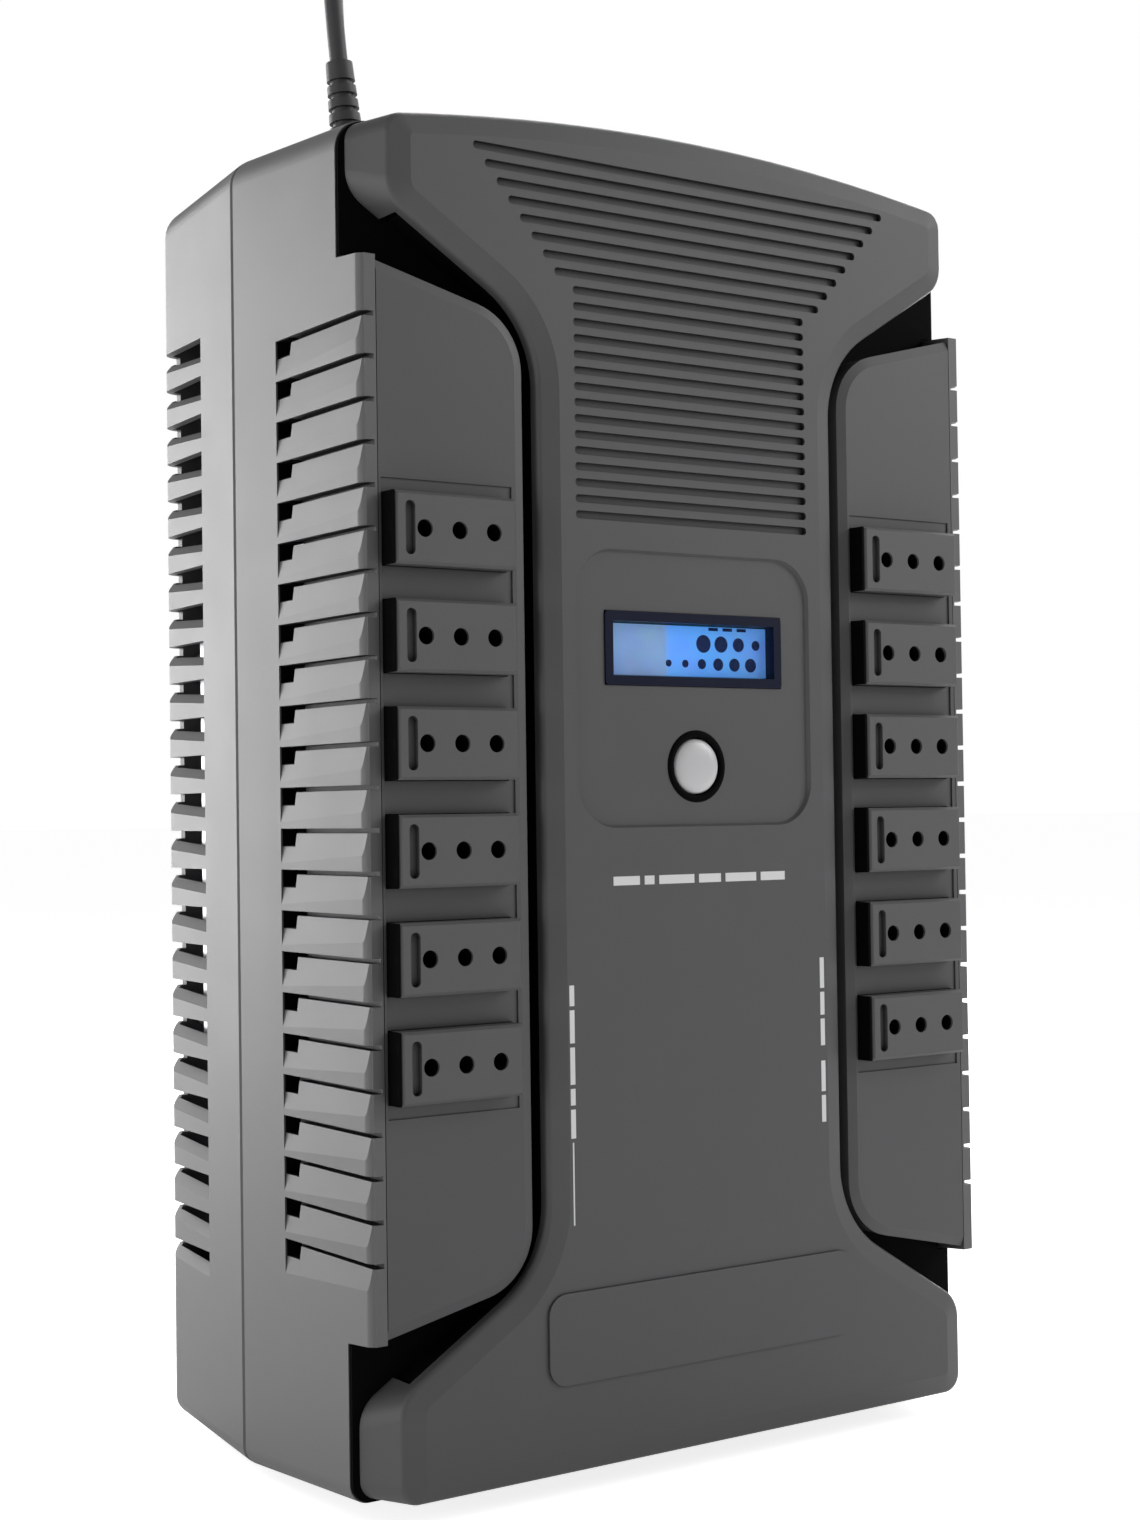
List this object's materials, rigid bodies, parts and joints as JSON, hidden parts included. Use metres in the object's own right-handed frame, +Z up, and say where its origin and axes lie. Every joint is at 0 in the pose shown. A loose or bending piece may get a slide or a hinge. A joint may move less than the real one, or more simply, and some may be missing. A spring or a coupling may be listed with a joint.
{
  "type": "uninterruptible power supply",
  "caption": "Upright mains backup supply with two columns of outlets, a louvred casing, a waisted front cover with a display and a round button, and a cord on top.",
  "frame": {"origin": "centre of the object's outline in plan, on the surface that the rubber feet stand on", "axes": "+Z up, the front with outlets, display and button faces -Y, the cord is on the -X side"},
  "size_m": [0.2485, 0.2195, 0.4383],
  "materials": {
    "shell_grey": "fine satin moulding",
    "cover_grey": "satin dark grey",
    "liner_black": "matt black",
    "tile_grey": "satin grey",
    "display_black": "gloss",
    "display_glass": "clear",
    "display_blue": "backlit",
    "circuit_board": "solder mask",
    "white_nylon": "matt",
    "button_silver": "satin silver",
    "black_plastic": "matt",
    "aluminium_fins": "extruded",
    "capacitor_sleeve": "sleeve",
    "core_steel": "varnished laminations",
    "winding_tape": "polyester tape",
    "zinc_steel": "zinc plated",
    "battery_case": "matt",
    "brass": "bright",
    "lead_insulation": "insulation",
    "cord_grey": "matt flexible sheath",
    "rubber": "matt"
  },
  "bodies": {
    "housing": {"battery": "battery_case", "battery_leads": "lead_insulation", "battery_strap": "zinc_steel", "battery_terminals": "brass", "board_screws": "zinc_steel", "breaker_nut": "zinc_steel", "button_switch": "black_plastic", "buzzer": "black_plastic", "capacitors": "capacitor_sleeve", "case_screws": "zinc_steel", "circuit_breaker": "black_plastic", "cord_coil": "cord_grey", "cord_tail": "cord_grey", "display_bezel": "display_black", "display_board": "circuit_board", "display_cable": "white_nylon", "display_panel": "display_blue", "display_posts": "white_nylon", "display_window": "display_glass", "front_cover": "cover_grey", "heat_sink": "aluminium_fins", "inner_frame": "liner_black", "line_ports": "black_plastic", "main_board": "circuit_board", "mid_shell": "shell_grey", "outlet_carrier_left": "liner_black", "outlet_carrier_right": "liner_black", "outlet_contacts_left": "brass", "outlet_contacts_right": "brass", "outlet_left_1": "tile_grey", "outlet_left_2": "tile_grey", "outlet_left_3": "tile_grey", "outlet_left_4": "tile_grey", "outlet_left_5": "tile_grey", "outlet_left_6": "tile_grey", "outlet_panel_left": "cover_grey", "outlet_panel_right": "cover_grey", "outlet_right_1": "tile_grey", "outlet_right_2": "tile_grey", "outlet_right_3": "tile_grey", "outlet_right_4": "tile_grey", "outlet_right_5": "tile_grey", "outlet_right_6": "tile_grey", "plug_pins": "brass", "power_cord": "cord_grey", "power_plug": "cord_grey", "power_transistors": "black_plastic", "rear_shell": "shell_grey", "relays": "black_plastic", "rubber_feet": "rubber", "strain_relief": "cord_grey", "transformer_bracket": "zinc_steel", "transformer_core": "core_steel", "transformer_screws": "zinc_steel", "transformer_winding": "winding_tape", "usb_port": "zinc_steel"},
    "power_button": {"power_button": "button_silver"},
    "breaker_button": {"breaker_button": "black_plastic"}
  },
  "joints": [
    {"name": "power_button_press", "type": "slide", "parent": "housing", "child": "power_button", "axis": [0, 1, 0], "range_m": [0, 0.0015], "stiffness_N_per_m": 600, "springref_m": -0.0005},
    {"name": "breaker_button_trip", "type": "slide", "parent": "housing", "child": "breaker_button", "axis": [0, 0, 1], "range_m": [0, 0.003]}
  ]
}
